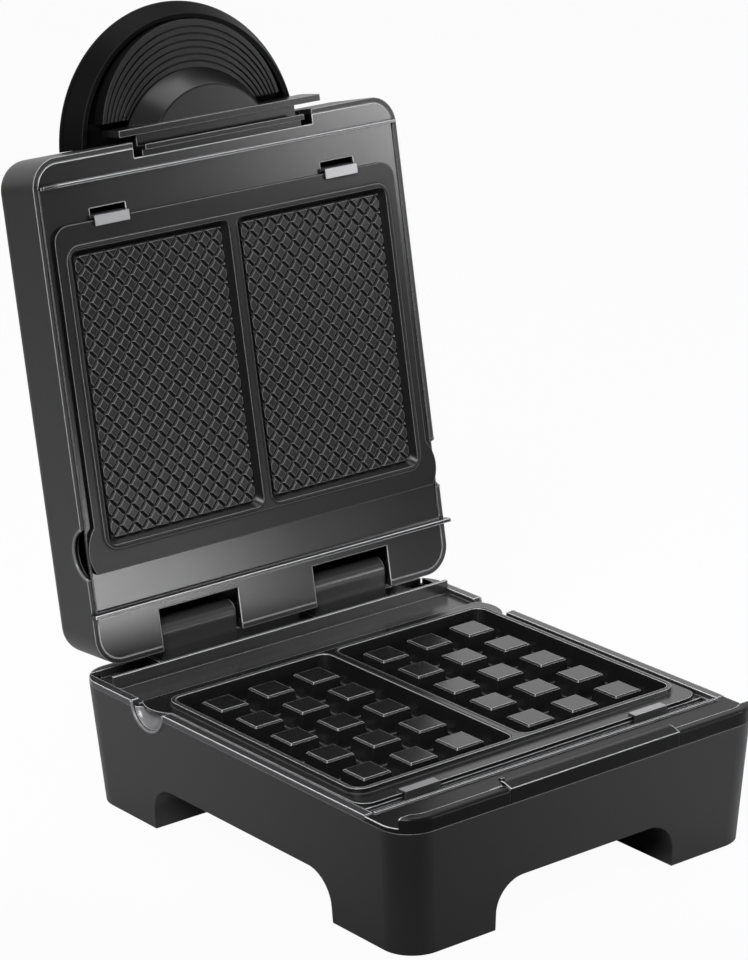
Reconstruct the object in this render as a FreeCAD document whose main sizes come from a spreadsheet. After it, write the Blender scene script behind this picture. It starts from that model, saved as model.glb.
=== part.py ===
"""A two-slice waffle maker with its lid standing open, in millimetres.

Every piece is drawn with the lid closed, Y running back from the front face of the base and Z up from the
table. Base pieces are then moved so that the origin is the middle of the open appliance's footprint, and lid
pieces are swung open about the hinge as well.
"""
import FreeCAD, Part
import math
import os
import Sketcher

doc = FreeCAD.newDocument("waffle_maker")
sheet = doc.addObject("Spreadsheet::Sheet", "dim")


class Size:
    """A length that carries its value and the sheet expression that gives it."""

    def __init__(self, value, text):
        self.value = value
        self.text = text

    def __add__(self, other):
        other = as_size(other)
        return Size(self.value + other.value, f"({self.text} + {other.text})")

    def __sub__(self, other):
        other = as_size(other)
        return Size(self.value - other.value, f"({self.text} - {other.text})")

    def __mul__(self, other):
        other = as_size(other)
        return Size(self.value * other.value, f"({self.text} * {other.text})")

    def __truediv__(self, other):
        other = as_size(other)
        return Size(self.value / other.value, f"({self.text} / {other.text})")

    def __radd__(self, other):
        return as_size(other) + self

    def __rsub__(self, other):
        return as_size(other) - self

    def __rmul__(self, other):
        return as_size(other) * self

    def __neg__(self):
        return Size(-self.value, f"(0 - {self.text})")

    def __float__(self):
        return self.value


def as_size(number):
    return number if isinstance(number, Size) else Size(float(number), f"({float(number)})")


def tangent(angle):
    return Size(math.tan(math.radians(angle.value)), f"tan({angle.text})")


rows = []


def size(alias, value):
    """Write one driving size in the sheet and read it back for the formulas below."""
    rows.append(alias)
    cell = f"B{len(rows)}"
    sheet.set(f"A{len(rows)}", alias)
    sheet.set(cell, str(value))
    sheet.setAlias(cell, alias)
    sheet.recompute()
    return Size(float(sheet.get(cell)), f"dim.{alias}")


# Clearances
gap = size("assembly_gap", 0.15)
play = size("running_gap", 0.3)
bore_fit = size("bore_fit", 0.05)
over = size("cut_overrun", 2)

# Base housing
base_width = size("base_width", 239)
base_depth = size("base_depth", 281)
base_nose = size("base_nose", 5.5)
base_top = size("base_top", 68.2)
base_corner = size("base_corner", 18)
base_wall = size("base_wall", 2.8)
base_draft = size("base_draft", 3.9)
arch_height = size("arch_height", 27)
foot_width = size("foot_width", 60.5)
foot_depth = size("foot_depth", 64)
arch_corner = size("arch_corner", 17)
front_reach = size("front_reach", 170.5)

# Rubber feet
foot_radius = size("foot_radius", 7)
foot_height = size("foot_height", 2)
foot_proud = size("foot_proud", 0.8)
foot_inset = size("foot_inset", 28)

# Base deck and front trim
deck_height = size("deck_height", 3.1)
deck_rim = size("deck_rim_height", 2.8)
rim_width = size("deck_rim_width", 5)
trim_depth = size("trim_depth", 25)
trim_height = size("trim_height", 2.6)
ridge_height = size("ridge_height", 8.1)
ridge_width = size("ridge_width", 5.5)
ridge_wrap = size("ridge_wrap", 8)
ridge_round = size("ridge_round", 1.8)
rib_height = size("trim_rib_height", 0.9)
rib_width = size("trim_rib_width", 1.6)
trough_floor = size("trough_floor", 1.2)
lip_height = size("rear_lip_height", 7.7)
lip_width = size("rear_lip_width", 1.7)
lip_inset = size("rear_lip_inset", 28.7)
post_radius = size("post_radius", 4.5)
post_inset = size("base_post_inset", 21)
post_front = size("base_post_front", 31)
post_rear_inset = size("base_post_rear_inset", 41.5)
bridge_height = size("hinge_bridge_height", 4.2)

# Latch catch on the base
catch_middle = size("catch_middle", 4)
catch_width = size("catch_width", 112)
catch_depth = size("catch_depth", 10)
catch_height = size("catch_height", 9.8)
catch_wall = size("catch_wall", 1.6)
catch_lip = size("catch_lip", 1.1)
catch_lip_height = size("catch_lip_height", 1.6)

# Plates
plate_side = size("plate_side_margin", 7)
plate_front = size("plate_front_margin", 36)
plate_rear_inset = size("plate_rear_margin", 54.5)
plate_corner = size("plate_corner", 9)
flange = size("plate_flange", 2)
plate_wall = size("plate_wall", 2.5)
ledge_side = size("plate_ledge_side", 7.7)
ledge_end = size("plate_ledge_end", 13.5)
chamber_corner = size("chamber_corner", 6)
divider = size("plate_divider", 5.6)
rim_height = size("rim_height", 2.8)
chamber_draft = size("chamber_draft", 8)
peg_height = size("peg_height", 11)
peg_drop = size("peg_drop", 1.7)
peg_top = size("peg_top", 17.4)
peg_foot = size("peg_foot", 20.6)
peg_bevel = size("peg_bevel", 0.8)
peg_pitch = size("peg_pitch", 30)
ear_radius = size("ear_radius", 20)
ear_reach = size("ear_reach", 5.2)
ear_inset = size("ear_inset", 11.5)
notch_radius = size("notch_radius", 14.5)
notch_depth = size("notch_depth", 10)
panel_draft = size("panel_draft", 36)
panel_drop = size("panel_drop", 4.3)
diamond_width = size("diamond_width", 9.14)
diamond_length = size("diamond_length", 10)
diamond_height = size("diamond_height", 1.8)
diamond_flat = size("diamond_flat", 4.4)
diamond_web = size("diamond_web", 0.3)
diamond_margin = size("diamond_margin", 0.6)
upper_rim = size("upper_rim", 0.9)

# Plate clips
clip_width = size("clip_width", 22)
clip_inset = size("clip_inset", 36.5)
clip_sheet = size("clip_sheet", 1)
clip_overlap = size("clip_overlap", 3)
clip_reach = size("clip_reach", 5.5)
clip_leg = size("clip_leg", 12)
clip_travel = size("clip_travel", 3.4)

# Heaters and reflectors
heater_radius = size("heater_radius", 3.25)
heater_inset = size("heater_inset", 26)
heater_bend = size("heater_bend", 22)
heater_end = size("heater_end_x", 12)
heater_tail = size("heater_tail", 6)
tray_sheet = size("reflector_sheet", 0.8)
tray_floor = size("reflector_floor_gap", 11.5)
tray_tab = size("reflector_tab", 4.6)
tray_tab_width = size("reflector_tab_width", 70)
saddle = size("saddle_size", 9)

# Lid
lid_side_over = size("lid_side_over", 0.5)
lid_rear_in = size("lid_rear_inset", 3.8)
lid_height = size("lid_height", 41)
lid_gap = size("lid_closing_gap", 8.5)
lid_corner = size("lid_corner", 16)
lid_wall = size("lid_wall", 2.8)
lid_draft = size("lid_draft", 3.5)
lid_round = size("lid_round", 8)
lid_deck_height = size("lid_deck_height", 2.5)
open_angle = size("open_angle", 99.4)
ledge_place = size("ledge_place", 14)
ledge_height = size("ledge_height", 3)
ledge_width = size("ledge_width", 1.5)
drip_inset = size("drip_rib_inset", 30)
drip_height = size("drip_rib_height", 5.5)
drip_width = size("drip_rib_width", 2)
drip_over = size("drip_rib_over", 1)
lid_screw_inset = size("lid_screw_inset", 52.5)
lid_post = size("lid_post_radius", 4)

# Hinge
hinge_inset = size("hinge_inset", 8.6)
hinge_depth = size("hinge_depth", 10.2)
pin_radius = size("pin_radius", 2.5)
knuckle_radius = size("knuckle_radius", 7.8)
window_inner = size("window_inner", 25.5)
window_inset = size("window_inset", 41.5)
window_depth = size("window_depth", 23.2)
window_height = size("window_height", 21)
knuckle_side = size("knuckle_side_gap", 1.5)
lug_width = size("lug_width", 5)
lug_radius = size("lug_radius", 4.6)
hollow_pin = size("hollow_pin_end", 42)
short_pin = size("short_pin_start", 52)

# Handle
handle_drop = size("handle_drop", 26)
handle_height = size("handle_height", 15)
handle_inner = size("handle_inner_radius", 70.5)
handle_outer = size("handle_outer_radius", 81)
handle_middle = size("handle_middle", 9.5)
handle_round = size("handle_round", 4)
dish_radius = size("handle_dish_radius", 67.8)
dish_depth = size("handle_dish_depth", 4)
grip_radius = size("grip_radius", 59.5)
grip_middle = size("grip_middle", 1.7)
grip_proud = size("grip_proud", 5)
grip_start = size("grip_start", 10)
groove_width = size("groove_width", 0.9)
groove_depth = size("groove_depth", 0.9)
groove_step = size("groove_step", 1.6)
groove_shift = size("groove_shift", 2.1)
groove_count = 6

# Latch slide
flange_left = size("latch_flange_left", 60)
flange_right = size("latch_flange_right", 73)
flange_near = size("latch_flange_near", 3.2)
flange_depth = size("latch_flange_depth", 3.6)
flange_drop = size("latch_flange_drop", 4)
pad_drop = size("latch_pad_drop", 6)
pad_face = size("latch_pad_face_radius", 41)
pad_foot = size("latch_pad_foot_radius", 50)
pad_middle = size("latch_pad_middle", 18.1)
latch_round = size("latch_round", 1.2)
blade_place = size("blade_place", 3.1)
blade_depth = size("blade_depth", 13.6)
blade_height = size("blade_height", 2.4)
blade_lift = size("blade_lift", 1.6)
blade_side = size("blade_side_gap", 3.5)
web_depth = size("web_depth", 2.9)
web_drop = size("web_drop", 6)
web_height = size("web_height", 3.5)
nose_width = size("nose_width", 1.6)
nose_proud = size("nose_proud", 2)
toe_reach = size("toe_reach", 1.2)
toe_height = size("toe_height", 1.1)
recess_edge = size("recess_edge", 8.2)
recess_side = size("recess_side_gap", 3.2)
recess_height = size("recess_height", 11)
spring_radius = size("latch_spring_radius", 2)
spring_length = size("latch_spring_length", 9)
spring_x = size("latch_spring_x", 38)
spring_wall = size("spring_wall", 0.6)

# Electrical pieces and screws
lead_radius = size("lead_radius", 1.5)
lead_x = size("hinge_lead_x", 47)
thermostat_radius = size("thermostat_radius", 8)
thermostat_height = size("thermostat_height", 7)
fuse_radius = size("fuse_radius", 2.2)
fuse_length = size("fuse_length", 22)
block_width = size("terminal_width", 34)
block_depth = size("terminal_depth", 14)
block_height = size("terminal_height", 10)
block_inset = size("terminal_inset", 89.5)
inlet_inset = size("inlet_inset", 39.5)
inlet_z = size("inlet_z", 44)
inlet_radius = size("inlet_radius", 7)
inlet_collar = size("inlet_collar", 2.5)
inlet_bore = size("inlet_bore", 3.6)
lens_radius = size("lens_radius", 4)
lens_x = size("lens_x", 12)
lens_place = size("lens_place", 30)
lens_collar = size("lens_collar", 1.2)
lens_proud = size("lens_proud", 0.4)
lamp_radius = size("lamp_radius", 2.6)
lamp_length = size("lamp_length", 8)
holder_height = size("lamp_holder_height", 3)
screw_radius = size("screw_radius", 1.35)
screw_head = size("screw_head_radius", 2.8)
screw_head_height = size("screw_head_height", 1.5)
screw_length = size("screw_length", 12)
handle_screw_x = size("handle_screw_x", 40)

doc.recompute()

# Places that several pieces share
base_half = base_width / 2
lid_half = base_half + lid_side_over
base_front = -base_nose
base_rear = base_depth - base_nose
lid_depth = base_rear - lid_rear_in
rim_top = base_top + deck_height
deck_top = rim_top - deck_rim
deck_under = base_top - deck_rim
lid_closed = deck_top + lid_gap
arch_side = base_depth - foot_depth * 2
arch_front = base_width - foot_width * 2
post_x = arch_front / 2 - post_inset
post_rear = base_rear - post_rear_inset
lip_place = base_rear - lip_inset
drip_place = lid_depth - drip_inset
plate_half = base_half - plate_side
plate_rear = base_rear - plate_rear_inset
plate_middle = (plate_front + plate_rear) / 2
chamber_width = plate_half - ledge_side - divider / 2
chamber_depth = plate_rear - plate_front - ledge_end * 2
ear_place = plate_rear - ear_inset
clip_x = plate_half - clip_inset
lid_screw_x = plate_half - lid_screw_inset
window_outer = base_half - window_inset
block_place = base_rear - block_inset
inlet_x = base_half - inlet_inset
lower_flange_top = deck_top + flange
lower_rim = lower_flange_top + rim_height
peg_level = lower_rim - peg_drop
chamber_floor = peg_level - peg_height
plate_under = chamber_floor - plate_wall
chamber_outer = divider / 2 + chamber_width
body_half = chamber_outer + plate_wall
body_front = plate_middle - chamber_depth / 2 - plate_wall
body_rear = plate_middle + chamber_depth / 2 + plate_wall
ceiling = arch_height + base_wall
upper_flange_low = lid_closed - flange - gap
upper_rim_low = upper_flange_low - upper_rim
panel_floor = upper_rim_low + panel_drop
upper_back = panel_floor + plate_wall
lid_top = lid_closed + lid_height
lid_deck_top = lid_closed + lid_deck_height
hinge_y = lid_depth - hinge_inset
hinge_z = lid_closed + hinge_depth
handle_low = lid_closed + handle_drop
dish_top = handle_low + dish_depth
grip_low = handle_low - grip_proud
catch_left = catch_middle - catch_width / 2
catch_right = catch_middle + catch_width / 2
notch_lift = notch_radius - notch_depth
tray_half = body_half + play + tray_sheet
tray_front = body_front - play - tray_sheet
tray_rear = body_rear + play + tray_sheet
lower_tray = plate_under - tray_floor
upper_tray = upper_back + tray_floor
blade_floor = lid_closed + blade_lift - play
spring_start = blade_place + blade_depth + gap
screw_front = (plate_front + tray_front) / 2
screw_rear = (plate_rear + tray_rear) / 2


def bind(item, prop, value):
    item.setExpression(prop, as_size(value).text)


def box(x, y, z):
    """A plain block between two faces on each axis."""
    item = doc.addObject("Part::Box", "box")
    for prop, axis, (low, high) in zip(("Length", "Width", "Height"), "xyz", (x, y, z)):
        bind(item, prop, high - low)
        bind(item, "Placement.Base." + axis, low)
    return item


TURNS = {
    "x": FreeCAD.Rotation(FreeCAD.Vector(0, 1, 0), 90),
    "y": FreeCAD.Rotation(FreeCAD.Vector(1, 0, 0), -90),
    "z": FreeCAD.Rotation(),
}


def rod(axis, start, length, radius):
    """A round bar from a start point along one axis."""
    item = doc.addObject("Part::Cylinder", "rod")
    item.Placement = FreeCAD.Placement(FreeCAD.Vector(), TURNS[axis])
    bind(item, "Radius", radius)
    bind(item, "Height", length)
    for letter, value in zip("xyz", start):
        bind(item, "Placement.Base." + letter, value)
    return item


def cone(start, height, low_radius, high_radius):
    """An upright cone frustum."""
    item = doc.addObject("Part::Cone", "cone")
    bind(item, "Radius1", low_radius)
    bind(item, "Radius2", high_radius)
    bind(item, "Height", height)
    for letter, value in zip("xyz", start):
        bind(item, "Placement.Base." + letter, value)
    return item


def fuse(*items):
    result = doc.addObject("Part::MultiFuse", "fuse")
    result.Shapes = list(items)
    result.Refine = True
    return result


def group(*items):
    """Separate solids that make one node."""
    result = doc.addObject("Part::Compound", "group")
    result.Links = list(items)
    return result


def cut(item, *tools):
    result = doc.addObject("Part::Cut", "cut")
    result.Base = item
    result.Tool = tools[0] if len(tools) == 1 else fuse(*tools)
    result.Refine = True
    return result


def common(item, other):
    result = doc.addObject("Part::Common", "common")
    result.Base = item
    result.Tool = other
    return result


def soften(item, radius, pick):
    """Round the edges that pick chooses."""
    doc.recompute()
    chosen = [number for number, edge in enumerate(item.Shape.Edges, 1) if pick(edge)]
    result = doc.addObject("Part::Fillet", "soften")
    result.Base = item
    result.Edges = [(number, float(radius), float(radius)) for number in chosen]
    return result


def level(z, beyond=None):
    """Pick the edges that lie flat at one height, optionally only those that pass a test of their box."""
    def pick(edge):
        bounds = edge.BoundBox
        flat = abs(bounds.ZMin - float(z)) < 0.01 and abs(bounds.ZMax - float(z)) < 0.01
        return flat and (beyond is None or beyond(bounds))
    return pick


def outline(body, plane, points, offset):
    """A closed polygon sketch whose corners are held by the sheet."""
    sketch = body.newObject("Sketcher::SketchObject", "outline")
    support = next(item for item in body.Origin.OriginFeatures if item.Role == plane)
    sketch.AttachmentSupport = [(support, "")]
    sketch.MapMode = "FlatFace"
    bind(sketch, "AttachmentOffset.Base.z", offset)
    corners = [FreeCAD.Vector(float(a), float(b), 0) for a, b in points]
    for number, corner in enumerate(corners):
        sketch.addGeometry(Part.LineSegment(corner, corners[(number + 1) % len(corners)]), False)
    for number, point in enumerate(points):
        following = (number + 1) % len(points)
        sketch.addConstraint(Sketcher.Constraint("Coincident", number, 2, following, 1))
        for axis, value in zip("XY", point):
            held = Sketcher.Constraint("Distance" + axis, -1, 1, number, 1, float(value))
            index = sketch.addConstraint(held)
            sketch.setExpression(f"Constraints[{index}]", as_size(value).text)
    return sketch


def block(x, y, z, height, corner=None, draft=None, down=False):
    """A padded rectangle with rounded upright corners, drafted away from its sketch level z."""
    body = doc.addObject("PartDesign::Body", "block")
    points = [(x[0], y[0]), (x[1], y[0]), (x[1], y[1]), (x[0], y[1])]
    pad = body.newObject("PartDesign::Pad", "pad")
    pad.Profile = outline(body, "XY_Plane", points, z)
    pad.Reversed = down
    bind(pad, "Length", height)
    if draft is not None:
        bind(pad, "TaperAngle", -draft)
    if corner is not None:
        doc.recompute()
        upright = [f"Edge{number}" for number, edge in enumerate(pad.Shape.Edges, 1)
                   if edge.BoundBox.ZLength > 0.9 * float(height)]
        rounding = body.newObject("PartDesign::Fillet", "rounding")
        rounding.Base = (pad, upright)
        bind(rounding, "Radius", corner)
    return body


def strip(points, x):
    """A side profile in Y and Z, padded across from one X to another."""
    body = doc.addObject("PartDesign::Body", "strip")
    pad = body.newObject("PartDesign::Pad", "pad")
    pad.Profile = outline(body, "YZ_Plane", points, x[0])
    bind(pad, "Length", x[1] - x[0])
    return body


def tube(points, radius, bend):
    """A round tube of straight runs joined by tangent arcs."""
    places = [FreeCAD.Vector(*[float(value) for value in point]) for point in points]
    edges = []
    start = places[0]
    for before, corner, after in zip(places, places[1:], places[2:]):
        into = (before - corner).normalize()
        away = (after - corner).normalize()
        half = into.getAngle(away) / 2
        reach = float(bend) / math.tan(half)
        first = corner + into * reach
        last = corner + away * reach
        middle = (into + away).normalize()
        centre = corner + middle * (float(bend) / math.sin(half))
        edges.append(Part.LineSegment(start, first).toShape())
        edges.append(Part.Arc(first, centre - middle * float(bend), last).toShape())
        start = last
    edges.append(Part.LineSegment(start, places[-1]).toShape())
    path = Part.Wire(edges)
    ring = Part.Wire(Part.makeCircle(float(radius), places[0], places[1] - places[0]))
    item = doc.addObject("Part::Feature", "tube")
    item.Shape = path.makePipeShell([ring], True, False)
    return item


def both(make):
    """The left and the right copy of a piece, from a function of its side."""
    return [make(-1), make(1)]


def spread(side, near, far):
    """Two X faces on one side of the middle, low one first."""
    return (near * side, far * side) if side > 0 else (far * side, near * side)


def hinge_rod(x, radius):
    return rod("x", (x[0], hinge_y, hinge_z), x[1] - x[0], radius)


def base_arches(grow):
    """The two crossing tunnels that leave four feet, grown outwards by a wall."""
    half = arch_front / 2 + grow
    lengthways = soften(
        box((-half, half), (base_front - over, base_rear + over), (-over, arch_height + grow)), arch_corner,
        level(arch_height + grow, lambda bounds: bounds.YLength > float(base_depth)))
    middle = (base_front + base_rear) / 2
    half = arch_side / 2 + grow
    across = soften(
        box((-base_half - over, base_half + over), (middle - half, middle + half),
            (-over, arch_height + grow)),
        arch_corner, level(arch_height + grow, lambda bounds: bounds.XLength > float(base_width)))
    return lengthways, across


def finger_notches(half, level_z):
    """Round cutters that open a finger notch in each side wall."""
    reach = rim_width + over
    return both(lambda side: rod("x", (half * side - reach, ear_place, level_z), reach * 2, notch_radius))


def foot_places():
    ends = (base_front + foot_inset, base_rear - foot_inset)
    return [(x, y) for x in (foot_inset - base_half, base_half - foot_inset) for y in ends]


def base_posts():
    return [(x, y) for x in (-post_x, post_x) for y in (post_front, post_rear)]


def make_base_housing():
    shell = block((-base_half, base_half), (base_front, base_rear), base_top, base_top - foot_proud,
                  base_corner, base_draft, down=True)
    floor = foot_proud + foot_height + base_wall
    inner = block((base_wall - base_half, base_half - base_wall),
                  (base_front + base_wall, base_rear - base_wall), base_top,
                  base_top - floor, base_corner - base_wall, base_draft, down=True)
    hollow = cut(inner, *base_arches(base_wall))
    pads = [rod("z", (x, y, 0), foot_height, foot_radius + gap) for x, y in foot_places()]
    holes = [rod("z", (x, y, arch_height - over), base_wall + over * 2, screw_radius + play)
                  for x, y in base_posts()]
    inlet = rod("y", (inlet_x, base_rear - base_wall * 4, inlet_z), base_wall * 5, inlet_radius + gap)
    notches = finger_notches(base_half, base_top + notch_lift)
    return cut(shell, *base_arches(as_size(0)), hollow, *pads, *holes, inlet, *notches)


def make_rubber_feet():
    return group(*[rod("z", (x, y, 0), foot_height, foot_radius) for x, y in foot_places()])


def base_outline(z, height, inset=0):
    return block((inset - base_half, base_half - inset), (base_front + inset, base_rear - inset), z, height,
                 base_corner - inset)


def make_base_deck():
    skirt = base_wall + play * 2 + gap * 2
    ahead = box((-base_half - over, base_half + over), (base_front - over, trim_depth + gap),
                (deck_under - over, rim_top + over))
    band = fuse(base_outline(base_top, deck_height), base_outline(deck_under, rim_top - deck_under, skirt))
    inside = (rim_width - base_half, base_half - rim_width)
    pocket = box(inside, (trim_depth, base_rear - rim_width), (deck_top, rim_top + over))
    opening = box((-tray_half - play, tray_half + play), (tray_front - play, tray_rear + play),
                  (deck_under - over, rim_top + over))
    floor = deck_under + trough_floor
    trough = box((ridge_width - base_half, base_half - ridge_width), (trim_depth - over, plate_front - gap),
                 (floor, rim_top + over))
    well = box(inside, (lip_place + lip_width, base_rear - rim_width), (floor, rim_top + over))
    slots = both(lambda side: box(spread(side, clip_x - clip_width / 2 - play,
                                         clip_x + clip_width / 2 + play),
                                  (trim_depth + gap * 2,
                                   plate_front - clip_reach + clip_overlap + clip_sheet + play),
                                  (deck_under - over, rim_top + over)))
    lip = box(inside, (lip_place, lip_place + lip_width), (floor, deck_top + lip_height))
    knuckles = both(lambda side: fuse(
        hinge_rod(spread(side, window_inner + knuckle_side, window_outer - knuckle_side), knuckle_radius),
        box(spread(side, window_inner + knuckle_side, window_outer - knuckle_side),
            (hinge_y - knuckle_radius, hinge_y + knuckle_radius), (deck_under, hinge_z))))
    bridge = box((-window_outer, window_outer), (hinge_y - knuckle_radius, hinge_y + knuckle_radius),
                 (deck_under, deck_top + bridge_height))
    bores = both(lambda side: hinge_rod(spread(side, window_inner, window_outer), pin_radius + bore_fit))
    lead_hole = rod("z", (lead_x, hinge_y, deck_under - over), hinge_z - deck_under + over, pin_radius)
    posts = [rod("z", (x, y, ceiling + gap), deck_under - ceiling + trough_floor / 2, post_radius)
             for x, y in base_posts()]
    post_bores = [rod("z", (x, y, ceiling), screw_length + over, screw_radius + bore_fit)
                  for x, y in base_posts()]
    scoops = both(lambda side: box(spread(side, tray_half + play, tray_half + play + tray_sheet),
                                   (ear_place - notch_radius - over, ear_place + notch_radius + over),
                                   (base_top - notch_depth - over, floor)))
    notches = finger_notches(base_half, base_top + notch_lift)
    frame = cut(band, ahead, pocket, opening, trough, well, *slots, *notches)
    return cut(fuse(frame, lip, bridge, *knuckles, *posts, *scoops), *bores, lead_hole, *post_bores)


def make_front_trim():
    top = base_top + trim_height
    beyond = base_rear + over
    wide = (-base_half - over, base_half + over)
    apron = cut(base_outline(base_top, trim_height),
                box(wide, (trim_depth, beyond), (base_top - over, top + over)))
    ridge = cut(base_outline(base_top, ridge_height),
                base_outline(base_top - over, ridge_height + over * 2, ridge_width),
                box(wide, (base_front + ridge_wrap, beyond), (base_top - over, top + ridge_height)))
    rib = box((ridge_width - base_half, base_half - ridge_width), (trim_depth - rib_width, trim_depth),
              (base_top, top + rib_height))
    whole = soften(fuse(apron, ridge, rib), ridge_round,
                   level(base_top + ridge_height,
                         lambda bounds: bounds.YMin < float(base_front) + 0.01 and bounds.XLength > 1))
    return cut(whole, box((catch_left - gap, catch_right + gap), (base_front - over, catch_depth + gap),
                          (base_top - over, base_top + catch_height + over)))


def make_front_catch():
    top = base_top + catch_height
    under = top - catch_lip_height
    floor = base_top + trim_height
    profile = [(base_front, base_top), (catch_depth, base_top), (catch_depth, floor), (catch_wall, floor),
               (catch_wall, under), (catch_wall + catch_lip, under), (catch_wall + catch_lip, top), (0, top),
               (base_front, base_top + ridge_height)]
    return soften(strip(profile, (catch_left, catch_right)), catch_wall / 2,
                  level(top, lambda bounds: bounds.XLength > 1))


def plate_flange(low):
    """The seat of a plate, with an ear on each side to lift it by."""
    seat = block((-plate_half, plate_half), (plate_front, plate_rear), low, flange, plate_corner)
    ear_x = plate_half + ear_reach - ear_radius
    reach = plate_half + ear_reach
    within = box((-reach, reach), (plate_front, plate_rear), (low, low + flange))
    return [seat, *both(lambda side: common(
        rod("z", (ear_x * side, ear_place, low), flange, ear_radius), within))]


def peg(x, y):
    """One tapered peg with a bevelled top."""
    item = doc.addObject("Part::Wedge", "peg")
    foot = peg_foot / 2
    crown = peg_top / 2
    values = {"Xmin": -foot, "Zmin": -foot, "Xmax": foot, "Zmax": foot, "X2min": -crown, "Z2min": -crown,
              "X2max": crown, "Z2max": crown, "Ymin": 0, "Ymax": peg_height - peg_bevel}
    cap = doc.addObject("Part::Wedge", "peg_cap")
    face = crown - peg_bevel
    cap_values = {"Xmin": -crown, "Zmin": -crown, "Xmax": crown, "Zmax": crown, "X2min": -face,
                  "Z2min": -face,
                  "X2max": face, "Z2max": face, "Ymin": 0, "Ymax": peg_bevel}
    for wedge, table, low in ((item, values, chamber_floor), (cap, cap_values, peg_level - peg_bevel)):
        wedge.Placement = FreeCAD.Placement(FreeCAD.Vector(), FreeCAD.Rotation(FreeCAD.Vector(1, 0, 0), 90))
        for prop, value in table.items():
            bind(wedge, prop, value)
        for letter, value in zip("xyz", (x, y, low)):
            bind(wedge, "Placement.Base." + letter, value)
    return [item, cap]


def peg_steps(length):
    """As many pegs as fit along a chamber, counted in pitches from its middle."""
    count = int((float(length) - float(peg_foot)) // float(peg_pitch)) + 1
    return [number - (count - 1) / 2 for number in range(count)]


def make_lower_plate():
    body = block((-body_half, body_half), (body_front, body_rear), plate_under, lower_rim - plate_under,
                 chamber_corner + plate_wall)
    whole = fuse(body, *plate_flange(deck_top))
    chambers = both(lambda side: block(
        spread(side, divider / 2, chamber_outer),
        (plate_middle - chamber_depth / 2, plate_middle + chamber_depth / 2), lower_rim,
        lower_rim - chamber_floor,
        chamber_corner, chamber_draft, down=True))
    middle = divider / 2 + chamber_width / 2
    pegs = []
    for side in (-1, 1):
        for column in peg_steps(chamber_width):
            for row in peg_steps(chamber_depth):
                pegs += peg(middle * side + peg_pitch * column, plate_middle + peg_pitch * row)
    return fuse(cut(whole, *chambers), *pegs)


def crossing_grooves(centre, reach, slant):
    """One set of slanted V grooves, half a step either side of a panel's middle."""
    along = FreeCAD.Vector(float(diamond_width) * slant, float(diamond_length), 0).normalize()
    across = FreeCAD.Vector(along.y, -along.x, 0)
    step = float(diamond_width) * float(diamond_length) / math.hypot(diamond_width, diamond_length)
    mouth = (step - float(diamond_flat)) / 2
    low = float(panel_floor - diamond_height)
    root = float(panel_floor - diamond_web)
    slope = mouth / (root - low)
    outer = mouth + slope * float(over)
    bars = []
    count = math.ceil(reach / step)
    for number in range(-count, count):
        start = centre + across * (step * (number + 0.5)) - along * reach
        corners = [start - across * outer + FreeCAD.Vector(0, 0, low - float(over)),
                   start + FreeCAD.Vector(0, 0, root),
                   start + across * outer + FreeCAD.Vector(0, 0, low - float(over))]
        bars.append(Part.Face(Part.makePolygon(corners + corners[:1])).extrude(along * reach * 2))
    return bars


def diamonds(side):
    """A sheet of pointed diamonds on a panel's floor, left standing between two crossing sets of grooves."""
    slope = panel_drop * tangent(panel_draft) + diamond_margin
    x = spread(side, divider / 2 + slope, chamber_outer - slope)
    half = chamber_depth / 2 - slope
    sheet = box(x, (plate_middle - half, plate_middle + half),
                (panel_floor - diamond_height, panel_floor + plate_wall / 2))
    centre = FreeCAD.Vector(float(x[0] + x[1]) / 2, float(plate_middle), 0)
    reach = math.hypot(float(x[1] - x[0]) / 2, half) + float(over)
    result = sheet
    for slant in (-1, 1):
        grooves = doc.addObject("Part::Feature", "grooves")
        grooves.Shape = Part.makeCompound(crossing_grooves(centre, reach, slant))
        result = cut(result, grooves)
    return result


def make_upper_plate():
    body = block((-body_half, body_half), (body_front, body_rear), upper_rim_low, upper_back - upper_rim_low,
                 chamber_corner + plate_wall)
    whole = fuse(body, *plate_flange(upper_flange_low))
    panels = both(lambda side: block(
        spread(side, divider / 2, chamber_outer),
        (plate_middle - chamber_depth / 2, plate_middle + chamber_depth / 2), upper_rim_low,
        panel_floor - upper_rim_low, chamber_corner, panel_draft))
    return fuse(cut(whole, *panels), *both(diamonds))


def make_clip(side, seat, direction):
    """A hooked strip: over the plate's edge, then down through the deck."""
    rear = plate_front + clip_overlap
    front = rear - clip_reach
    near = seat + play * direction
    far = near + clip_sheet * direction
    end = seat - clip_leg * direction
    profile = [(rear, near), (rear, far), (front, far), (front, end), (front + clip_sheet, end),
               (front + clip_sheet, near)]
    return strip(profile, spread(side, clip_x - clip_width / 2, clip_x + clip_width / 2))


def heater_path(z, tail_z):
    """A loop round both chambers whose two ends turn away from the plate."""
    side = body_half - heater_inset
    front = body_front + heater_inset / 2
    rear = body_rear - heater_inset / 2
    return [(-heater_end, front, tail_z), (-heater_end, front, z), (-side, front, z), (-side, rear, z),
            (side, rear, z), (side, front, z), (heater_end, front, z), (heater_end, front, tail_z)]


def heater(z, tail_z):
    """The loop itself, bent tightly at its tails and widely at its corners."""
    points = heater_path(z, tail_z)
    start, stop = points[0], points[-1]
    corner = heater_radius * 3
    left = tube([start, points[1], (-heater_end - heater_bend, points[1][1], z)], heater_radius, corner)
    right = tube([(heater_end + heater_bend, points[1][1], z), points[-2], stop], heater_radius, corner)
    loop = tube([(-heater_end - heater_bend, points[1][1], z), *points[2:6],
                 (heater_end + heater_bend, points[1][1], z)], heater_radius, heater_bend)
    return fuse(left, loop, right)


def make_lower_heater():
    z = plate_under - play - heater_radius
    return heater(z, lower_tray - heater_tail)


def make_upper_heater():
    z = upper_back + play + heater_radius
    return heater(z, upper_tray + heater_tail)


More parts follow.
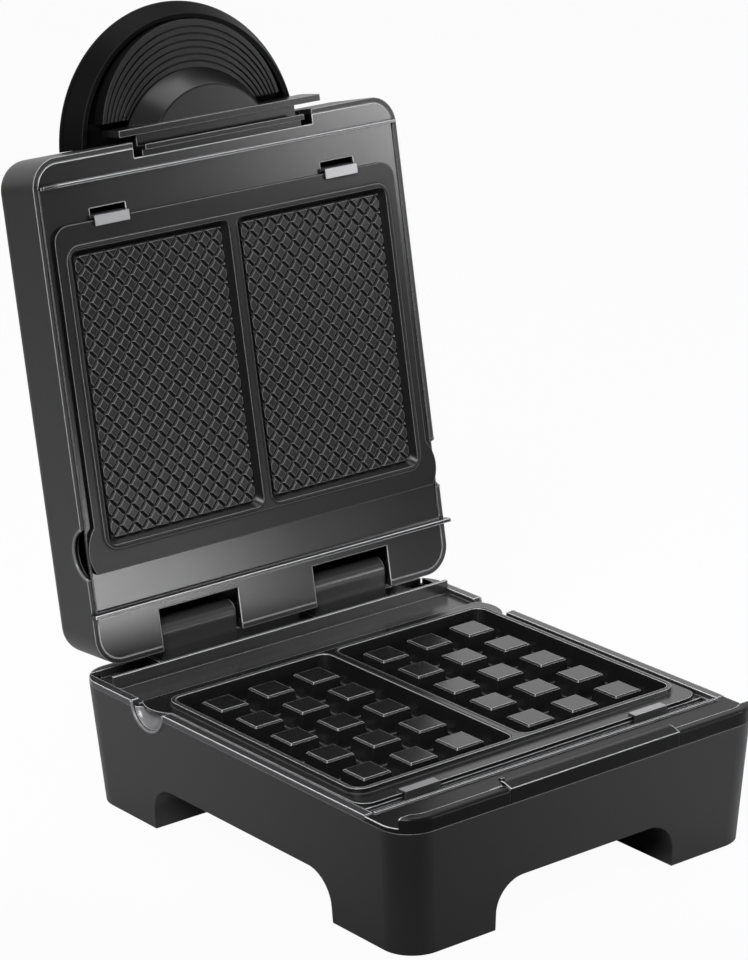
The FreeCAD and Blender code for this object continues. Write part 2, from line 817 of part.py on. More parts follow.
def heater_saddles(low, high):
    """Small blocks that hold the loop off its reflector."""
    side = body_half - heater_inset
    spots = [(x, y) for x in (-side, side) for y in (plate_middle - peg_pitch, plate_middle + peg_pitch)]
    half = saddle / 2
    return group(*[box((x - half, x + half), (y - half, y + half), (low, high)) for x, y in spots])


def make_lower_saddles():
    return heater_saddles(lower_tray + tray_sheet, plate_under - play * 2 - heater_radius * 2)


def make_upper_saddles():
    return heater_saddles(upper_back + play * 2 + heater_radius * 2, upper_tray - tray_sheet)


def reflector(outer_z, inner_z, rim_z, tab_z):
    """An open tray round the back of a plate, with a tab under the deck at the front and at the rear."""
    corner = chamber_corner + plate_wall + play + tray_sheet
    low, high = (outer_z, rim_z) if float(outer_z) < float(rim_z) else (rim_z, outer_z)
    shell = block((-tray_half, tray_half), (tray_front, tray_rear), low, high - low, corner)
    low, high = (inner_z, rim_z + over) if float(inner_z) < float(rim_z) else (rim_z - over, inner_z)
    inner = block((tray_sheet - tray_half, tray_half - tray_sheet),
                  (tray_front + tray_sheet, tray_rear - tray_sheet),
                  low, high - low, corner - tray_sheet)
    half = tray_tab_width / 2
    tabs = [box((-half, half), (tray_front - tray_tab, tray_front + tray_sheet), tab_z),
            box((-half, half), (tray_rear - tray_sheet, tray_rear + tray_tab), tab_z)]
    front = body_front + heater_inset / 2
    holes = both(lambda side: rod("z", (heater_end * side, front, inner_z - over * 2), over * 4,
                                  heater_radius * 1.5))
    return cut(fuse(cut(shell, inner), *tabs), *holes)


def make_lower_reflector():
    rim = deck_under - gap
    return reflector(lower_tray, lower_tray + tray_sheet, rim, (rim - tray_sheet, rim))


def make_upper_reflector():
    rim = lid_deck_top + gap
    return reflector(upper_tray, upper_tray - tray_sheet, rim, (rim, rim + tray_sheet))


def windows(z):
    """Cutters for the two openings in the lid's rear edge that the knuckles stand in."""
    return both(lambda side: box(spread(side, window_inner, window_outer),
                                 (lid_depth - window_depth, lid_depth + over), z))


def lid_screw_places():
    return [(x, y) for x in (-lid_screw_x, lid_screw_x) for y in (screw_front, screw_rear)]


def make_lid_housing():
    shell = soften(block((-lid_half, lid_half), (0, lid_depth), lid_closed, lid_height, lid_corner,
                         lid_draft),
                   lid_round, level(lid_top))
    hollow = block((lid_wall - lid_half, lid_half - lid_wall), (lid_wall, lid_depth - lid_wall), lid_closed,
                   lid_height - lid_wall, lid_corner - lid_wall, lid_draft)
    mouth = box((catch_left - recess_side, catch_right + recess_side), (-over, lid_wall + over * 2),
                (lid_closed - over, lid_closed + recess_height))
    lenses = both(lambda side: rod("z", (lens_x * side, lens_place, lid_top - lid_wall - over),
                                   lid_wall + over * 2,
                                   lens_radius + gap))
    screws = both(lambda side: rod("y", (handle_screw_x * side, -over, handle_screw_z()),
                                   handle_seat() + over * 2,
                                   screw_radius + play))
    empty = cut(shell, hollow, mouth, *windows((lid_closed - over, lid_closed + window_height)),
                *finger_notches(lid_half, lid_closed - notch_lift), *lenses, *screws)
    roof = lid_top - lid_wall / 2
    posts = [rod("z", (x, y, lid_deck_top + gap), roof - lid_deck_top - gap, lid_post)
                  for x, y in lid_screw_places()]
    bores = [rod("z", (x, y, lid_deck_top), screw_length + over, screw_radius + bore_fit)
             for x, y in lid_screw_places()]
    return cut(fuse(empty, *posts), *bores)


def make_lid_deck():
    edge = lid_wall + gap
    panel = block((edge - lid_half, lid_half - edge), (edge, lid_depth - edge), lid_closed, lid_deck_height,
                  lid_corner - edge, lid_draft)
    opening = box((-tray_half - play, tray_half + play), (tray_front - play, tray_rear + play),
                  (lid_closed - over, lid_deck_top + over))
    recess = box((catch_left - recess_side, catch_right + recess_side), (-over, recess_edge),
                 (lid_closed - over, lid_deck_top + over))
    spring_end = spring_start + spring_length + gap
    under_blade = box((catch_left, catch_right), (0, spring_end + over), (blade_floor, lid_deck_top + over))
    slots = both(lambda side: box(spread(side, clip_x - clip_width / 2 - play,
                                         clip_x + clip_width / 2 + play),
                                  (plate_front + clip_overlap - clip_reach - clip_travel - play,
                                   plate_front + clip_overlap - clip_reach + clip_sheet + play),
                                  (lid_closed - over, lid_deck_top + over)))
    heads = [rod("z", (x, y, lid_closed - over), over + screw_head_height, screw_head + gap)
             for x, y in lid_screw_places()]
    holes = [rod("z", (x, y, lid_closed - over), lid_deck_height + over * 2, screw_radius + play)
             for x, y in lid_screw_places()]
    frame = cut(panel, opening, recess, under_blade, *slots, *heads, *holes,
                *windows((lid_closed - over, lid_deck_top + over)))
    bite = lid_deck_height / 2
    ledge = box((edge - lid_half, lid_half - edge), (ledge_place, ledge_place + ledge_width),
                (lid_closed - ledge_height, blade_floor))
    stops = both(lambda side: box((catch_middle + spring_x * side - spring_radius * 2,
                                   catch_middle + spring_x * side + spring_radius * 2),
                                  (spring_end, spring_end + over),
                                  (lid_closed, blade_floor + spring_radius * 2)))
    drip = strip([(drip_place, lid_closed - drip_height),
                  (drip_place + drip_width, lid_closed - drip_height),
                  (drip_place + drip_width, lid_closed), (drip_place, lid_closed)],
                 (-lid_half - drip_over, lid_half + drip_over))
    root = box((edge - lid_half, lid_half - edge), (drip_place, drip_place + drip_width),
               (lid_closed - bite, lid_closed + bite))
    lugs = []
    for side in (-1, 1):
        for x in (spread(side, window_inner - lug_width - gap, window_inner - gap),
                  spread(side, window_outer + gap, window_outer + gap + lug_width)):
            lugs.append(fuse(hinge_rod(x, lug_radius),
                             box(x, (hinge_y - lug_radius, hinge_y + lug_radius),
                                 (lid_closed + bite, hinge_z))))
    bores = both(lambda side: hinge_rod(spread(side, window_inner - lug_width * 2,
                                               window_outer + lug_width * 2),
                                        pin_radius))
    return cut(fuse(frame, ledge, drip, root, *stops, *lugs), *bores)


def make_hinge_pins():
    end = window_outer + gap + lug_width
    return group(hinge_rod((-end, gap + lug_width - window_inner), pin_radius),
                 hinge_rod((short_pin, end), pin_radius))


def make_hollow_hinge_pin():
    x = (window_inner - gap - lug_width, hollow_pin)
    return cut(hinge_rod(x, pin_radius), hinge_rod((x[0] - over, x[1] + over), lead_radius + gap))


def handle_screw_z():
    return handle_low + handle_height / 2


def handle_seat():
    """Where the inner face of the lid's drafted front wall stands behind the handle screws."""
    return (handle_screw_z() - lid_closed) * tangent(lid_draft) + lid_wall


def make_handle_shell():
    cup = soften(cone((0, handle_middle, handle_low), handle_height, handle_inner, handle_outer),
                 handle_round,
                 level(handle_low + handle_height))
    behind = block((-lid_half, lid_half), (-gap, lid_depth), lid_closed, lid_height, lid_corner, lid_draft)
    dish = rod("z", (0, handle_middle, handle_low - over), dish_depth + over, dish_radius)
    screws = both(lambda side: rod("y", (handle_screw_x * side, -screw_length, handle_screw_z()),
                                   screw_length * 2,
                                   screw_radius + bore_fit))
    return cut(cup, behind, dish, *screws)


def make_handle_grip():
    pad = rod("z", (0, grip_middle, grip_low), dish_top - gap - grip_low, grip_radius)
    behind = box((-grip_radius * 2, grip_radius * 2), (-grip_start, grip_radius * 2),
                 (grip_low - over, dish_top + over))
    grooves = []
    for number in range(groove_count):
        radius = grip_radius - groove_step * (number + 1)
        start = (0, grip_middle + groove_shift * (number + 1), grip_low - over)
        grooves.append(cut(rod("z", start, over + groove_depth, radius),
                           rod("z", start, over + groove_depth, radius - groove_width)))
    return cut(pad, behind, *grooves)


def make_latch_slide():
    near = -flange_near
    far = near - flange_depth
    top = grip_low - play * 2
    bar = box((-flange_left, flange_right), (far, near), (lid_closed + flange_drop, top))
    dome = cone((0, pad_middle, lid_closed + pad_drop), top - lid_closed - pad_drop, pad_face, pad_foot)
    keep = box((-pad_foot, pad_foot), (pad_middle - pad_foot - over, near), (lid_closed, top + over))
    pad = soften(common(dome, keep), latch_round,
                 level(lid_closed + pad_drop, lambda bounds: bounds.YLength > 1))
    x = (catch_left + blade_side, catch_right - blade_side)
    web_low = lid_closed + web_drop
    web_high = web_low + web_height
    front = blade_place
    rear = blade_place + web_depth
    blade_low = lid_closed + blade_lift
    blade_high = blade_low + blade_height
    nose_low = lid_closed - nose_proud
    toe_top = nose_low + toe_height
    profile = [(near - flange_depth / 2, web_low), (front, web_low), (front, toe_top),
               (front - toe_reach, toe_top), (front - toe_reach, nose_low), (front + nose_width, nose_low),
               (front + nose_width, blade_low), (front + blade_depth, blade_low),
               (front + blade_depth, blade_high),
               (rear, blade_high), (rear, web_high), (near - flange_depth / 2, web_high)]
    return fuse(bar, pad, strip(profile, x))


def make_latch_springs():
    z = blade_floor + spring_radius + gap

    def spring(side):
        x = catch_middle + spring_x * side
        return cut(rod("y", (x, spring_start, z), spring_length, spring_radius),
                   rod("y", (x, spring_start - over, z), spring_length + over * 2,
                       spring_radius - spring_wall))
    return group(*both(spring))


def screw(axis, seat, length, flip):
    """A pan-head screw whose head stands on the seat point, its shank running along flip."""
    index = "xyz".index(axis)
    head = list(seat)
    shank = list(seat)
    head[index] = seat[index] - screw_head_height if flip > 0 else seat[index]
    shank[index] = seat[index] if flip > 0 else seat[index] - length
    return fuse(rod(axis, head, screw_head_height, screw_head), rod(axis, shank, length, screw_radius))


def make_base_screws():
    return group(*[screw("z", (x, y, arch_height), base_wall + screw_length, 1) for x, y in base_posts()])


def make_lid_screws():
    seat = lid_closed + screw_head_height
    return group(*[screw("z", (x, y, seat), lid_deck_top - seat + screw_length, 1)
                  for x, y in lid_screw_places()])


def make_handle_screws():
    seat = handle_seat() + play
    return group(*both(lambda side: screw("y", (handle_screw_x * side, seat, handle_screw_z()),
                                          seat + screw_length - over, -1)))


def make_base_thermostat():
    top = lower_tray - gap
    can = rod("z", (0, plate_middle, top - thermostat_height), thermostat_height, thermostat_radius)
    bar = box((-thermostat_radius * 2, thermostat_radius * 2),
              (plate_middle - thermostat_radius / 2, plate_middle + thermostat_radius / 2),
              (top - tray_sheet, top))
    return fuse(can, bar)


def make_thermal_fuse():
    z = lower_tray - gap - fuse_radius
    return rod("x", (-thermostat_radius * 3 - fuse_length, plate_middle, z), fuse_length, fuse_radius)


def make_terminal_block():
    half = block_width / 2
    body = box((-half, half), (block_place, block_place + block_depth),
               (ceiling + gap, ceiling + gap + block_height))
    wells = [rod("z", (block_width / 4 * number, block_place + block_depth / 2, ceiling + block_height / 2),
                 block_height, lead_radius * 1.5) for number in (-1, 0, 1)]
    return cut(body, *wells)


def make_cord_inlet():
    inner = base_rear - base_wall * 3
    body = rod("y", (inlet_x, inner, inlet_z), base_wall * 3, inlet_radius)
    collar = rod("y", (inlet_x, inner, inlet_z), base_wall / 2, inlet_radius + inlet_collar)
    bore = rod("y", (inlet_x, inner - over, inlet_z), base_wall * 3 + over * 2, inlet_bore)
    return cut(fuse(body, collar), bore)


def make_base_leads():
    bend = lead_radius * 3
    wire_z = ceiling + block_height / 2
    front = body_front + heater_inset / 2
    tail = lower_tray - heater_tail
    rear_face = block_place + block_depth + gap
    front_face = block_place - gap
    crossing = rear_face + block_depth
    mains = tube([(block_width / 4, rear_face, wire_z), (block_width / 4, crossing, wire_z),
                  (inlet_x, crossing, wire_z), (inlet_x, crossing + bend * 3, inlet_z),
                  (inlet_x, base_rear - base_wall * 3 - gap, inlet_z)], lead_radius, bend)
    sides = []
    for side in (-1, 1):
        sides.append(tube([(heater_end * side, front_face, wire_z), (heater_end * side, front, wire_z),
                           (heater_end * side, front, tail - gap)], lead_radius, lead_radius * 2))
    to_lid = tube([(0, rear_face, wire_z), (0, hinge_y - knuckle_radius * 2, wire_z),
                   (lead_x, hinge_y - knuckle_radius, wire_z + bend), (lead_x, hinge_y, wire_z + bend * 2),
                   (lead_x, hinge_y, hinge_z), ((hollow_pin + window_inner) / 2, hinge_y, hinge_z)],
                  lead_radius, bend * 0.8)
    return group(mains, *sides, to_lid)


def make_lid_leads():
    bend = lead_radius * 3
    start = (hollow_pin + window_inner) / 2
    tail = upper_tray + heater_tail + gap
    run = lamp_board() + holder_height / 2
    front = body_front + heater_inset / 2
    turn = window_inner - lug_width * 2
    supply = tube([(start, hinge_y, hinge_z), (turn, hinge_y, hinge_z), (turn, hinge_y - bend * 2, run),
                   (heater_end, body_rear, run), (heater_end, front, run), (heater_end, front, tail)],
                  lead_radius, lead_radius * 2)
    lamp_feed = tube([(-heater_end, front, tail), (-heater_end, front, run),
                      (-heater_end, lens_place + lens_radius * 1.5 + gap, run)], lead_radius,
                      lead_radius * 2)
    return group(supply, lamp_feed)


def lens(side):
    body = rod("z", (lens_x * side, lens_place, lid_top - lid_wall), lid_wall + lens_proud, lens_radius)
    collar = rod("z", (lens_x * side, lens_place, lid_top - lid_wall - lens_collar), lens_collar - gap,
                 lens_radius + lens_collar)
    joint = rod("z", (lens_x * side, lens_place, lid_top - lid_wall - lens_collar), lens_collar * 2,
                lens_radius)
    return fuse(body, collar, joint)


def lamp_board():
    """The under side of the board that carries the two lamps."""
    return lid_top - lid_wall - lens_collar - gap - lamp_length - holder_height


def make_lamp_holder():
    low = lamp_board()
    half = lens_x + lens_radius * 2
    board = box((-half, half), (lens_place - lens_radius * 1.5, lens_place + lens_radius * 1.5),
                (low, low + holder_height))
    lamps = both(lambda side: rod("z", (lens_x * side, lens_place, low), holder_height + lamp_length,
                                  lamp_radius))
    return fuse(board, *lamps)


slide = FreeCAD.Vector(0, -float(front_reach), 0)
ON_BASE = FreeCAD.Placement(slide, FreeCAD.Rotation())
ON_LID = FreeCAD.Placement(slide, FreeCAD.Rotation(FreeCAD.Vector(1, 0, 0), -float(open_angle)),
                           FreeCAD.Vector(0, float(hinge_y), float(hinge_z)))

base_pieces = {
    "base_housing": make_base_housing(),
    "rubber_feet": make_rubber_feet(),
    "base_deck": make_base_deck(),
    "front_trim": make_front_trim(),
    "front_catch": make_front_catch(),
    "lower_waffle_plate": make_lower_plate(),
    "base_clip_left": make_clip(-1, lower_flange_top, 1),
    "base_clip_right": make_clip(1, lower_flange_top, 1),
    "lower_heater": make_lower_heater(),
    "lower_heater_saddles": make_lower_saddles(),
    "lower_reflector": make_lower_reflector(),
    "base_thermostat": make_base_thermostat(),
    "thermal_fuse": make_thermal_fuse(),
    "terminal_block": make_terminal_block(),
    "cord_inlet": make_cord_inlet(),
    "base_leads": make_base_leads(),
    "base_screws": make_base_screws(),
}
lid_pieces = {
    "lid_housing": make_lid_housing(),
    "lid_deck": make_lid_deck(),
    "hinge_pins": make_hinge_pins(),
    "hollow_hinge_pin": make_hollow_hinge_pin(),
    "upper_grill_plate": make_upper_plate(),
    "lid_clip_left": make_clip(-1, upper_flange_low, -1),
    "lid_clip_right": make_clip(1, upper_flange_low, -1),
    "upper_heater": make_upper_heater(),
    "upper_heater_saddles": make_upper_saddles(),
    "upper_reflector": make_upper_reflector(),
    "lid_leads": make_lid_leads(),
    "lid_screws": make_lid_screws(),
    "handle_shell": make_handle_shell(),
    "handle_grip": make_handle_grip(),
    "handle_screws": make_handle_screws(),
    "latch_slide": make_latch_slide(),
    "latch_springs": make_latch_springs(),
    "power_lens": lens(-1),
    "ready_lens": lens(1),
    "lamp_holder": make_lamp_holder(),
}

PLAIN = ("Part::Box", "Part::Cylinder", "Part::Cone")
doc.recompute()
finished = []
for pieces, placement in ((base_pieces, ON_BASE), (lid_pieces, ON_LID)):
    for label, piece in pieces.items():
        whole = group(piece) if piece.TypeId in PLAIN else piece
        whole.Label = label
        doc.recompute()
        whole.Placement = placement
        finished.append(whole)
doc.recompute()

for item in doc.Objects:
    if "Invalid" in item.State or "Error" in item.State:
        raise RuntimeError(f"{item.Label} did not build")
for whole in finished:
    if whole.Shape.isNull() or not whole.Shape.isValid() or not whole.Shape.Solids:
        raise RuntimeError(f"{whole.Label} has no sound solid")

os.makedirs("parts", exist_ok=True)
for whole in finished:
    whole.Shape.exportStep(f"parts/{whole.Label}.step")
    bounds = whole.Shape.optimalBoundingBox(False)
    print(f"{whole.Label:22s} solids {len(whole.Shape.Solids):2d}  volume {whole.Shape.Volume:10.1f}"
          f"  y {bounds.YMin:7.1f} {bounds.YMax:7.1f}  z {bounds.ZMin:7.1f} {bounds.ZMax:7.1f}")
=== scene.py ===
# %% [markdown]
# # A waffle maker with its lid standing open
# The solids come from the CAD frame: housings, decks, plates, clips, handle and latch. This lesson dresses
# them. It adds the small moulded forms that a solid modeller leaves out, gives every piece its real finish,
# and photographs the appliance in a white studio. Everything is in metres, +Z is up and the latch side
# faces -Y.

import math

import bpy
from mathutils import Matrix, Vector


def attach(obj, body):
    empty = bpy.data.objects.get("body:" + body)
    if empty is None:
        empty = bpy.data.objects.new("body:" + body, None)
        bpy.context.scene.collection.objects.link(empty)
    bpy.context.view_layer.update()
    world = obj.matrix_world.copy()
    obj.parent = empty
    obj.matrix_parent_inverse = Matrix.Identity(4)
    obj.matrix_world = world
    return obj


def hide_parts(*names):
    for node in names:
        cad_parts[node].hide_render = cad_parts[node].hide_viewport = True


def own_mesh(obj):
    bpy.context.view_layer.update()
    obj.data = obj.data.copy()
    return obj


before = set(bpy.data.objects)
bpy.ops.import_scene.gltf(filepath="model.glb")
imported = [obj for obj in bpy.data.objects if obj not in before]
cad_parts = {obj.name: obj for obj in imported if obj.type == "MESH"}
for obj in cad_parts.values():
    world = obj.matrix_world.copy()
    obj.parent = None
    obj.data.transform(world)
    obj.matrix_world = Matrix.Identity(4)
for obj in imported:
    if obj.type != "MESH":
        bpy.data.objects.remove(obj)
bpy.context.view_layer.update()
MM = 0.001

# %% [markdown]
# The lid pieces are easiest to shape with the lid closed, where the plate lies flat and its length runs
# along Y. They could be modelled in the open lid at once, but then every size would be mixed with the lid's
# angle. So one matrix swings the finished shapes open about the hinge, as the CAD solids are.

# %% Where things are
FRONT_REACH = 170.5 * MM
HINGE = Vector((0, 263.1 * MM, 87.2 * MM))
OPEN_ANGLE = math.radians(99.4)
QUARTER_TURN = math.radians(90)
UP = (0, 0, 1)
ON_BASE = Matrix.Translation((0, -FRONT_REACH, 0))
SWING = Matrix.Translation(HINGE) @ Matrix.Rotation(-OPEN_ANGLE, 4, "X") @ Matrix.Translation(-HINGE)
ON_LID = ON_BASE @ SWING
print("hinge", tuple(round(v, 4) for v in ON_BASE @ HINGE))

# %% [markdown]
# Operators act on all that is selected, so every piece begins with nothing selected. Its place could stay
# in the object's own transform, but then a pattern in the object's space would slide when the part is
# exported. So a piece ends with its place in its mesh, and with a finish and the body it rides on.

# %% How a piece begins and ends
def start_fresh():
    """Leave edit mode and let go of everything."""
    if bpy.context.object and bpy.context.object.mode != "OBJECT":
        bpy.ops.object.mode_set(mode="OBJECT")
    bpy.ops.object.select_all(action="DESELECT")


def apply_modifiers(piece):
    bpy.context.view_layer.objects.active = piece
    for modifier in list(piece.modifiers):
        bpy.ops.object.modifier_apply(modifier=modifier.name)


def settle(piece, name, body, place, material):
    """Finish a piece: put its place in the mesh, name it, and let it ride on a body."""
    if piece.mode != "OBJECT":
        bpy.ops.object.mode_set(mode="OBJECT")
    piece.data.transform(place @ piece.matrix_world)
    piece.matrix_world = Matrix()
    piece.name = name
    piece.data.name = name
    piece.data.materials.clear()
    piece.data.materials.append(material)
    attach(piece, body)
    print(name, len(piece.data.polygons), "faces on", body)
    return piece


# %% [markdown]
# ## Finishes
# A shader is a small calculation for every point of a surface. It could be wired node by node, but then the
# calculation is hard to read. The wrapper below lets it be written as ordinary arithmetic: adding two
# values adds a Math node. Any other node comes from one method.

# %% A small language for shaders
class Value:
    """One socket's output, with arithmetic."""

    def __init__(self, nodes, socket):
        self.nodes = nodes
        self.socket = socket

    def combine(self, operation, first, second):
        return self.nodes.node("ShaderNodeMath", {"operation": operation}, {0: first, 1: second})

    def __add__(self, other):
        return self.combine("ADD", self, other)

    def __sub__(self, other):
        return self.combine("SUBTRACT", self, other)

    def __rsub__(self, other):
        return self.combine("SUBTRACT", other, self)

    def __mul__(self, other):
        return self.combine("MULTIPLY", self, other)

    __radd__ = __add__
    __rmul__ = __mul__

    def or_more(self, other):
        """The larger of two values."""
        return self.combine("MAXIMUM", self, other)


class Nodes:
    """The nodes of a material or of the world."""

    def __init__(self, tree):
        self.tree = tree

    def node(self, kind, settings, inputs, output=0):
        made = self.tree.nodes.new(kind)
        for key, value in settings.items():
            setattr(made, key, value)
        for key, value in inputs.items():
            self.feed(made.inputs[key], value)
        return Value(self, made.outputs[output])

    def feed(self, socket, value):
        if isinstance(value, Value):
            self.tree.links.new(value.socket, socket)
        else:
            socket.default_value = value

    def along(self, vector, direction):
        """How far a vector reaches in a direction."""
        return self.node("ShaderNodeVectorMath", {"operation": "DOT_PRODUCT"}, {
            0: vector, 1: direction}, "Value")

    def steps(self, value, low, high, first=0.0, last=1.0):
        """Stretch a value so that low becomes first and high becomes last, and hold it between the two."""
        return self.node("ShaderNodeMapRange", {}, {
            "Value": value, "From Min": low, "From Max": high, "To Min": first, "To Max": last})

    def rays(self, kind):
        """1 for the rays of one kind and 0 for all others."""
        return self.node("ShaderNodeLightPath", {}, {}, kind)


# %% [markdown]
# Real edges are a little round. Rounding every edge in the meshes would take very many faces, so the shader
# does it. It learns three things of each point: a softened normal, how far it lies on an outer edge that
# faces one side, and how open it is. The edge mask carries a painted highlight on the edges that face the
# light, and the openness carries painted shade in gaps and inner corners.

# %% A material under construction
SAMPLES = 6
OPEN_REACH = 3
EDGE_TURN = (0.01, 0.12)
OPEN_SKY = (0.55, 0.9)
FACING = (0.3, 0.6)
COOL_TINT = 1.03


class Finish(Nodes):
    """A material with its main shader and the place of each point on its piece."""

    def __init__(self, name):
        self.material = bpy.data.materials.new(name)
        self.material.use_nodes = True
        super().__init__(self.material.node_tree)
        self.shader = self.tree.nodes["Principled BSDF"]
        self.place = self.node("ShaderNodeTexCoord", {}, {}, "Object")

    def set(self, **inputs):
        for key, value in inputs.items():
            self.feed(self.shader.inputs[key.replace("_", " ")], value)

    def noise(self, scale, detail, place=None):
        return self.node("ShaderNodeTexNoise", {}, {
            "Vector": place or self.place, "Scale": scale, "Detail": detail}, "Fac")

    def blend(self, factor, first, second):
        return self.node("ShaderNodeMix", {"data_type": "RGBA"}, {0: factor, 6: first, 7: second}, 2)

    def rounded(self, radius, facing=UP):
        """A softened normal, a mask for a painted highlight on outer edges of one side, and how open each
        point is.
        """
        soft = self.node("ShaderNodeBevel", {"samples": SAMPLES}, {"Radius": radius})
        flat = self.node("ShaderNodeNewGeometry", {}, {}, "Normal")
        same = self.along(soft, flat)
        clear = self.node(
            "ShaderNodeAmbientOcclusion", {"samples": SAMPLES}, {"Distance": radius * OPEN_REACH}, "AO")
        own = self.node("ShaderNodeVectorTransform", {
            "vector_type": "NORMAL", "convert_from": "WORLD", "convert_to": "OBJECT"}, {"Vector": soft})
        turned = self.along(own, facing)
        # The mask of the painted highlight: outer, open edges that face the chosen, lit side.
        edge = self.steps(1 - same, *EDGE_TURN) * self.steps(clear, *OPEN_SKY) * self.steps(turned, *FACING)
        return soft, edge, clear

    def bump(self, height, strength, distance, normal):
        return self.node("ShaderNodeBump", {}, {
            "Height": height, "Strength": strength, "Distance": distance, "Normal": normal})


def grey(level):
    """A grey that leans a little to blue."""
    return (level, level, level * COOL_TINT, 1.0)


# %% [markdown]
# Moulded black plastic is never one flat black. The tool leaves a fine grain, and the gloss wanders a
# little. A picture of plastic could be laid over the pieces, but noise in a piece's own space has no seams.
# On top of that the colour carries painted light: a painted highlight on the outer edges that face the
# light, and painted shade in gaps and inner corners. Each plastic below gives its shade, the shade of its
# painted edge highlight, its roughness, the strength of its grain, the rounding of its edges, the side
# whose edges get the painted highlight and, where it differs, its gloss.

# %% Plastics
MID_NOISE = 0.5
WANDER_SCALE = 14
WANDER_RANGE = (0.3, 0.7)
WANDER_DARK = 0.85
WANDER_PALE = 1.15
WANDER_GLOSS = 0.08
GRIT_SCALE = 2600
GRIT_GLOSS = 0.05
GRAIN_DEPTH = 0.04 * MM
# How much of the shade is left in gaps and inner corners: painted shade.
PAINTED_SHADE_SHARE = 0.2
LID_FACE = tuple(SWING.to_3x3() @ Vector((0, 0, -1)))


def moulded(name, shade, edge_highlight, roughness, grain, radius, facing, gloss=0.5):
    finish = Finish(name)
    soft, edge, clear = finish.rounded(radius, facing)
    wander = finish.noise(WANDER_SCALE, 4)
    grit = finish.noise(GRIT_SCALE, 2)
    body = finish.blend(
        finish.steps(wander, *WANDER_RANGE), grey(shade * WANDER_DARK), grey(shade * WANDER_PALE))
    # Painted shade: the colour darkens in gaps and inner corners, where less light reaches.
    shaded = finish.blend(clear, grey(shade * PAINTED_SHADE_SHARE), body)
    finish.set(
        # Painted highlight: outer edges on the side that faces the light are painted pale.
        Base_Color=finish.blend(edge, shaded, grey(edge_highlight)),
        Roughness=roughness + WANDER_GLOSS * (wander - MID_NOISE) + GRIT_GLOSS * (grit - MID_NOISE),
        Specular_IOR_Level=gloss,
        Normal=finish.bump(grit, grain, GRAIN_DEPTH, soft))
    return finish.material


base_black = moulded("base_black", 0.006, 0.25, 0.40, 0.3, 0.9 * MM, UP)
lid_black = moulded("lid_black", 0.006, 0.50, 0.40, 0.3, 0.9 * MM, LID_FACE)
# The base deck is the same black plastic, painted paler as painted light from above.
lit_base_deck_black = moulded("lit_base_deck_black", 0.030, 0.95, 0.22, 0.12, 1.0 * MM, UP)
trim_black = moulded("trim_black", 0.006, 0.95, 0.24, 0.12, 1.0 * MM, UP, 0.12)
lid_deck_black = moulded("lid_deck_black", 0.006, 0.95, 0.22, 0.12, 1.0 * MM, LID_FACE)
latch_black = moulded("latch_black", 0.005, 0.40, 0.26, 0.15, 0.8 * MM, LID_FACE, 0.25)
grip_black = moulded("grip_black", 0.004, 0.03, 0.34, 0.2, 0.8 * MM, LID_FACE, 0.2)
handle_black = moulded("handle_black", 0.003, 0.03, 0.40, 0.2, 0.8 * MM, LID_FACE, 0.03)
# The scoops and notch lips are the same black plastic, painted much paler as a painted highlight.
lit_scoop_black = moulded("lit_scoop_black", 0.15, 0.60, 0.22, 0.1, 0.8 * MM, UP)
print("plastics", base_black.name, lit_base_deck_black.name, handle_black.name)

# %% [markdown]
# The plates are cast aluminium with a sprayed non-stick coat. The coat is thick enough to show a pebbled
# surface and carries pale flecks. It is duller deep in the grooves, where nothing rubs it. Pebbles in the
# mesh would be far too many, so a bump gives them. The coat's colour also holds painted shade deep in the
# grooves and a painted highlight on the outer edges that face the light.

# %% Non-stick coat
PEBBLE_SCALE = 1500
PEBBLE_DEPTH = 0.06 * MM
PEBBLE_BUMP = 0.3
PEBBLE_GLOSS = 0.1
FLECK_SCALE = 4200
FLECK_RANGE = (0.66, 0.74)
FLECK_SHADE = 0.06
FLECK_COVER = 0.35
CLOUD_SCALE = 22
CLOUD_GLOSS = 0.08
COAT_ROUNDING = 0.7 * MM
GROOVE_ROUGHNESS = 0.5


def non_stick(name, shade, edge_highlight, roughness, facing, gloss):
    finish = Finish(name)
    soft, edge, clear = finish.rounded(COAT_ROUNDING, facing)
    pebble = finish.noise(PEBBLE_SCALE, 3)
    fleck = finish.steps(finish.noise(FLECK_SCALE, 1), *FLECK_RANGE)
    cloud = finish.noise(CLOUD_SCALE, 3)
    coat = finish.blend(fleck * FLECK_COVER, grey(shade), grey(FLECK_SHADE))
    # Painted shade in the grooves, then a painted highlight on outer edges that face the light.
    shaded = finish.blend(clear, grey(shade * PAINTED_SHADE_SHARE), coat)
    uneven = roughness + CLOUD_GLOSS * (cloud - MID_NOISE) + PEBBLE_GLOSS * (pebble - MID_NOISE)
    finish.set(
        Base_Color=finish.blend(edge, shaded, grey(edge_highlight)),
        Specular_IOR_Level=gloss,
        Roughness=uneven + GROOVE_ROUGHNESS * (1 - clear),
        Normal=finish.bump(pebble, PEBBLE_BUMP, PEBBLE_DEPTH, soft))
    return finish.material


lower_coat = non_stick("lower_coat", 0.006, 0.6, 0.22, UP, 0.75)
upper_coat = non_stick("upper_coat", 0.005, 0.30, 0.30, LID_FACE, 0.25)
print("coats", lower_coat.name, upper_coat.name)

# %% [markdown]
# The clips are bright sheet steel, drawn through rollers, so their scratches run across the appliance. An
# anisotropic shader could stretch the highlights, but it shows no single scratch. A noise that is squeezed
# in two directions does.

# %% Metal
SHEET_ROUNDING = 0.3 * MM
DRAWN_SCALE = (60, 1800, 1800)
DRAWN_DEPTH = 0.03 * MM
DRAWN_BUMP = 0.15
DRAWN_DARK = 0.8
DRAWN_GLOSS = 0.16
EDGE_GLOSS = 0.05


